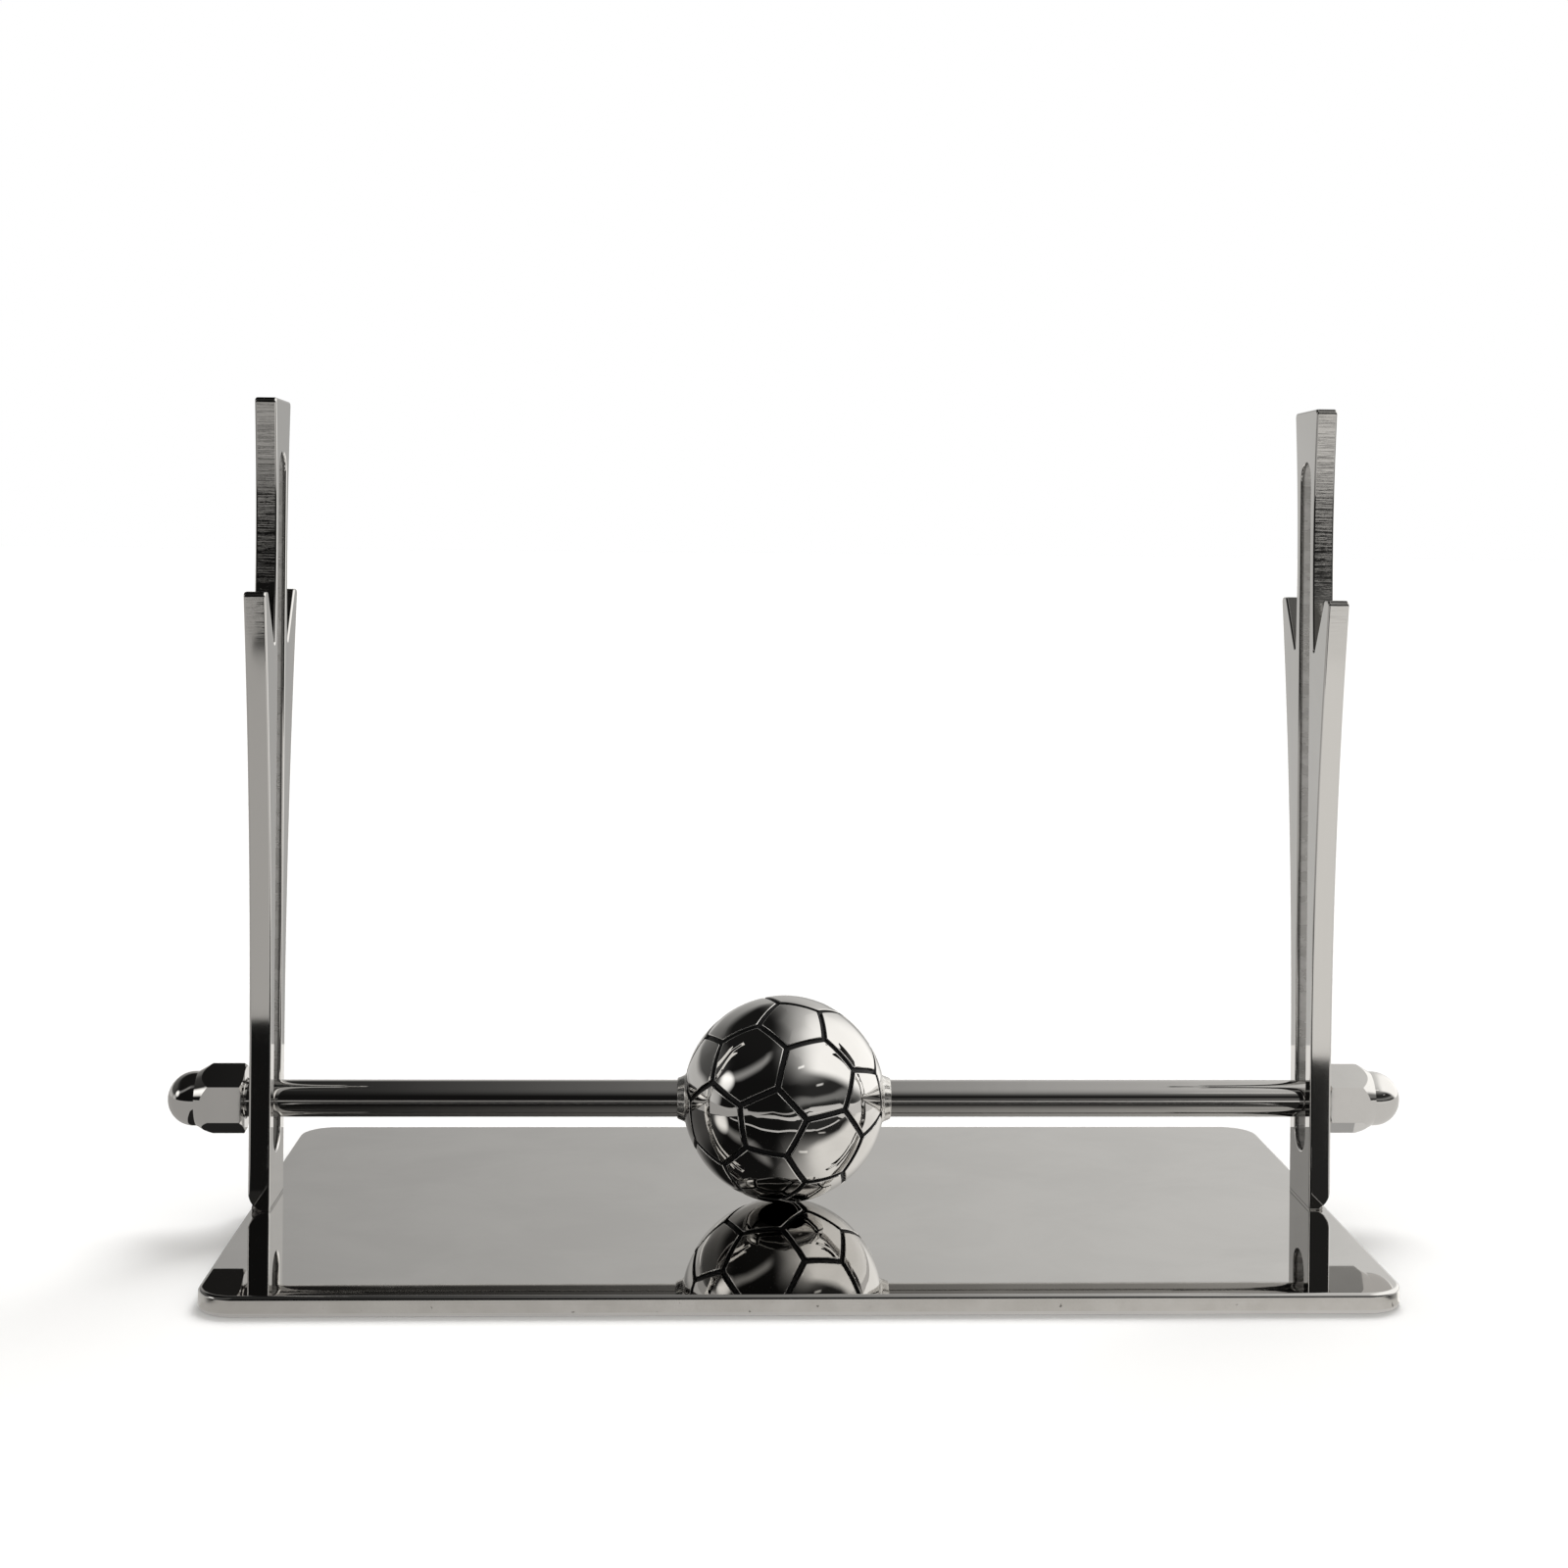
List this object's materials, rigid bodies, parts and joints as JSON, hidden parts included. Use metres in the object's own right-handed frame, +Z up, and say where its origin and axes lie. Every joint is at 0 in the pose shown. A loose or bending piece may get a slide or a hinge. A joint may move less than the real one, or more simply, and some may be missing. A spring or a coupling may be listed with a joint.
{
  "type": "weighted napkin and paper holder",
  "caption": "Flat tray with forked, slotted end posts and a weighted sliding bar, with a football-patterned ball, that presses on a flat stack of napkins or paper.",
  "frame": {"origin": "centre of the base plate's underside, on the surface it rests on", "axes": "+X along the bar towards the right-hand nut as seen from the front, +Y towards the back, +Z up along the posts"},
  "size_m": [0.2044, 0.1, 0.135],
  "materials": {
    "base_steel": "mirror-polished flat, satin edge",
    "post_steel": "mirror-polished, linished edges",
    "weld_metal": "as soldered, rough",
    "rod_steel": "polished",
    "ball_steel": "polished panels, dark grooves",
    "solder": "polished solder",
    "nut_steel": "turned and polished"
  },
  "bodies": {
    "stand": {"base_plate": "base_steel", "left_post": "post_steel", "right_post": "post_steel", "left_post_weld": "weld_metal", "right_post_weld": "weld_metal"},
    "bar": {"rod": "rod_steel"},
    "ball_and_nuts": {"ball": "ball_steel", "left_collar": "solder", "right_collar": "solder", "left_cap_nut": "nut_steel", "right_cap_nut": "nut_steel"}
  },
  "joints": [
    {"name": "bar_lift", "type": "slide", "parent": "stand", "child": "bar", "axis": [0, 0, 1], "range_m": [0, 0.103]},
    {"name": "ball_spin", "type": "hinge", "parent": "bar", "child": "ball_and_nuts", "pos_m": [-0.0015, 0, 0.01992], "axis": [1, 0, 0], "continuous": true}
  ]
}
